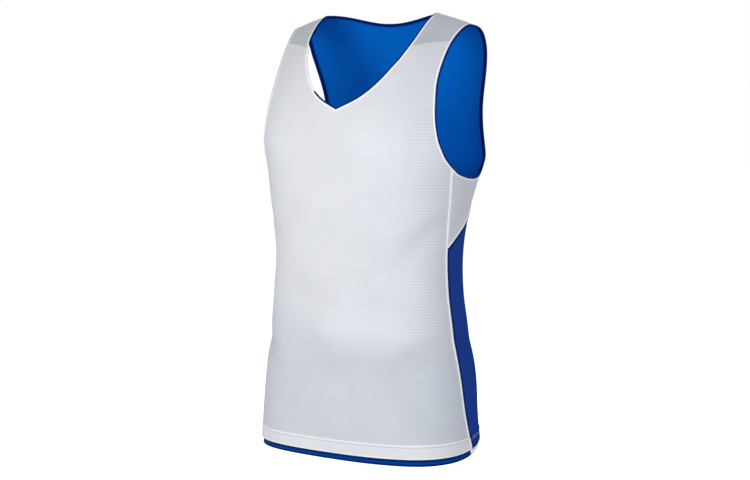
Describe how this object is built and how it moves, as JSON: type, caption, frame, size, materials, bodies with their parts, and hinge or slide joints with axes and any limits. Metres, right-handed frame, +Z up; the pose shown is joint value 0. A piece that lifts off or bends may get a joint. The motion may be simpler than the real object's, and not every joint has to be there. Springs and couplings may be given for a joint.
{
  "type": "reversible basketball jersey",
  "caption": "Sleeveless reversible basketball jersey in two layers of thin knit, white over blue, in its hollow worn form: V neck, wide armholes, side inserts and turned-up hems.",
  "frame": {"origin": "midway between the two shoulder straps, at the height of their undersides on the shoulder ridge, where the wearer's shoulders carry them", "axes": "+Z up along the wearer's body, -Y to the wearer's front, +X to the wearer's left"},
  "size_m": [0.3768, 0.2607, 0.7178],
  "materials": {
    "white_knit": "thin white polyester knit in fine level rows",
    "blue_knit": "thin royal blue polyester knit, faintly sheeny",
    "blue_insert_knit": "royal blue knit of the outer layer's side inserts",
    "white_insert_knit": "white knit of the lining's side inserts"
  },
  "bodies": {
    "root": {"outer_front": "white_knit", "outer_back": "white_knit", "outer_insert_lower_left": "blue_insert_knit", "outer_insert_upper_left": "white_knit", "outer_insert_lower_right": "blue_insert_knit", "outer_insert_upper_right": "white_knit", "lining_front": "blue_knit", "lining_back": "blue_knit", "lining_insert_lower_left": "white_insert_knit", "lining_insert_upper_left": "blue_knit", "lining_insert_lower_right": "white_insert_knit", "lining_insert_upper_right": "blue_knit"}
  },
  "joints": []
}
